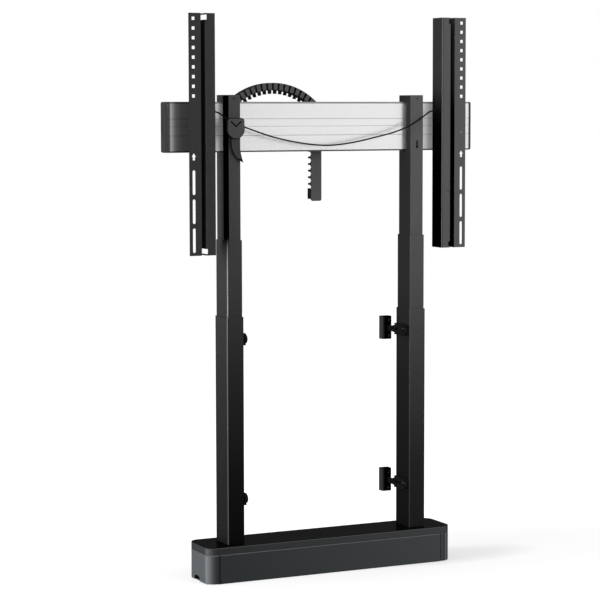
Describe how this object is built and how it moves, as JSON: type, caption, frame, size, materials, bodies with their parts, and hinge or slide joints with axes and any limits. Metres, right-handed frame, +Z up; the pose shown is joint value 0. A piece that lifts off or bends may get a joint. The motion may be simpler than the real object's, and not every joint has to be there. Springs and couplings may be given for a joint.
{
  "type": "tv lift mechanism",
  "caption": "Floor-standing lift: telescopic columns on a long base raise a crossbar with slotted display rails, a cable chain, a pull cord and wall stays.",
  "frame": {"origin": "on the floor under the middle of the base", "axes": "+X along the crossbar to the viewer's right, +Y to the wall, +Z up"},
  "size_m": [0.92, 0.1632, 1.506],
  "materials": {
    "base_panel": "satin",
    "base_moulding": "satin",
    "lid_gloss": "gloss",
    "steel_plate": "matte",
    "foot": "matte",
    "control_case": "matte",
    "gear_case": "cast",
    "motor_case": "satin",
    "zinc": "zinc plated",
    "column_paint": "satin powder coat",
    "glide": "matte",
    "nut_block": "matte",
    "spindle_steel": "turned",
    "cap": "matte",
    "bar_aluminium": "satin anodised",
    "rail_paint": "satin powder coat",
    "latch_steel": "zinc plated",
    "spring_steel": "oiled",
    "bush": "matte",
    "cord": "braided",
    "grip": "soft touch",
    "leaf": "matte",
    "chain": "moulded",
    "tray": "satin",
    "stay": "satin",
    "block": "matte"
  },
  "bodies": {
    "root": {"base_side_panels": "base_panel", "base_end_left": "base_moulding", "base_end_right": "base_moulding", "base_lid": "lid_gloss", "base_plate": "steel_plate", "levelling_feet": "foot", "control_box": "control_case", "lift_gearboxes": "gear_case", "lift_motors": "motor_case", "column_feet": "steel_plate", "foot_bolts": "zinc", "outer_glides": "glide", "outer_tube_left": "column_paint", "outer_tube_right": "column_paint", "chain_guide": "tray", "chain_fixed_leg": "chain", "wall_clamps": "stay"},
    "middle_stage_left": {"middle_tube_left": "column_paint", "middle_glides_left": "glide", "stage_nut_left": "nut_block", "chain_arch": "chain"},
    "middle_stage_right": {"middle_tube_right": "column_paint", "middle_glides_right": "glide", "stage_nut_right": "nut_block"},
    "carriage": {"inner_tube_left": "column_paint", "inner_tube_right": "column_paint", "carriage_nuts": "nut_block", "column_caps": "cap", "crossbar": "bar_aluminium", "crossbar_ends": "cap", "bar_clamps": "gear_case", "bar_screws": "zinc", "display_rail_left": "rail_paint", "display_rail_right": "rail_paint", "rail_brackets": "latch_steel", "latch_springs": "spring_steel", "cord_bushes": "bush", "cord_left": "cord", "cord_right": "cord", "grip_front": "grip", "grip_back": "grip", "grip_tail": "leaf", "chain_moving_leg": "chain", "chain_tray": "tray", "chain_end_clamp": "chain"},
    "spindle_left": {"lift_spindle_left": "spindle_steel"},
    "spindle_right": {"lift_spindle_right": "spindle_steel"},
    "upper_spindle_left": {"hollow_spindle_left": "spindle_steel"},
    "upper_spindle_right": {"hollow_spindle_right": "spindle_steel"},
    "latch_lever_left": {"latch_left": "latch_steel"},
    "latch_lever_right": {"latch_right": "latch_steel"},
    "stay_upper_left": {"wall_arm_upper_left": "stay", "wall_block_upper_left": "block"},
    "stay_upper_right": {"wall_arm_upper_right": "stay", "wall_block_upper_right": "block"},
    "stay_lower_left": {"wall_arm_lower_left": "stay", "wall_block_lower_left": "block"},
    "stay_lower_right": {"wall_arm_lower_right": "stay", "wall_block_lower_right": "block"}
  },
  "joints": [
    {"name": "lift_left_stage", "type": "slide", "parent": "root", "child": "middle_stage_left", "axis": [0, 0, 1], "range_m": [-0.2, 0.125], "deforming": ["chain_fixed_leg"]},
    {"name": "lift_right_stage", "type": "slide", "parent": "root", "child": "middle_stage_right", "axis": [0, 0, 1], "range_m": [-0.2, 0.125]},
    {"name": "lift_carriage", "type": "slide", "parent": "middle_stage_left", "child": "carriage", "axis": [0, 0, 1], "range_m": [-0.2, 0.125], "deforming": ["chain_moving_leg"]},
    {"name": "spindle_left_turn", "type": "hinge", "parent": "root", "child": "spindle_left", "pos_m": [-0.275, 0, 0.2], "axis": [0, 0, 1], "continuous": true},
    {"name": "upper_spindle_left_turn", "type": "hinge", "parent": "middle_stage_left", "child": "upper_spindle_left", "pos_m": [-0.275, 0, 0.4], "axis": [0, 0, 1], "continuous": true},
    {"name": "latch_left_release", "type": "hinge", "parent": "carriage", "child": "latch_lever_left", "pos_m": [-0.352, -0.03, 1.146], "axis": [1, 0, 0], "range_deg": [-12, 0], "stiffness_Nm_per_rad": 0.6, "springref_deg": 8.59},
    {"name": "spindle_right_turn", "type": "hinge", "parent": "root", "child": "spindle_right", "pos_m": [0.275, 0, 0.2], "axis": [0, 0, 1], "continuous": true},
    {"name": "upper_spindle_right_turn", "type": "hinge", "parent": "middle_stage_right", "child": "upper_spindle_right", "pos_m": [0.275, 0, 0.4], "axis": [0, 0, 1], "continuous": true},
    {"name": "latch_right_release", "type": "hinge", "parent": "carriage", "child": "latch_lever_right", "pos_m": [0.352, -0.03, 1.146], "axis": [1, 0, 0], "range_deg": [-12, 0], "stiffness_Nm_per_rad": 0.6, "springref_deg": 8.59},
    {"name": "stay_upper_left_slide", "type": "slide", "parent": "root", "child": "stay_upper_left", "axis": [0, 1, 0], "range_m": [0, 0.03]},
    {"name": "stay_upper_right_slide", "type": "slide", "parent": "root", "child": "stay_upper_right", "axis": [0, 1, 0], "range_m": [0, 0.03]},
    {"name": "stay_lower_left_slide", "type": "slide", "parent": "root", "child": "stay_lower_left", "axis": [0, 1, 0], "range_m": [0, 0.03]},
    {"name": "stay_lower_right_slide", "type": "slide", "parent": "root", "child": "stay_lower_right", "axis": [0, 1, 0], "range_m": [0, 0.03]}
  ],
  "couplings": [
    {"joint": "lift_right_stage", "follows": "lift_left_stage", "ratio": 1},
    {"joint": "lift_carriage", "follows": "lift_left_stage", "ratio": 1},
    {"joint": "spindle_left_turn", "follows": "lift_left_stage", "rad_per_m": 523.6},
    {"joint": "upper_spindle_left_turn", "follows": "lift_left_stage", "rad_per_m": 523.6},
    {"joint": "spindle_right_turn", "follows": "lift_left_stage", "rad_per_m": 523.6},
    {"joint": "upper_spindle_right_turn", "follows": "lift_left_stage", "rad_per_m": 523.6}
  ]
}
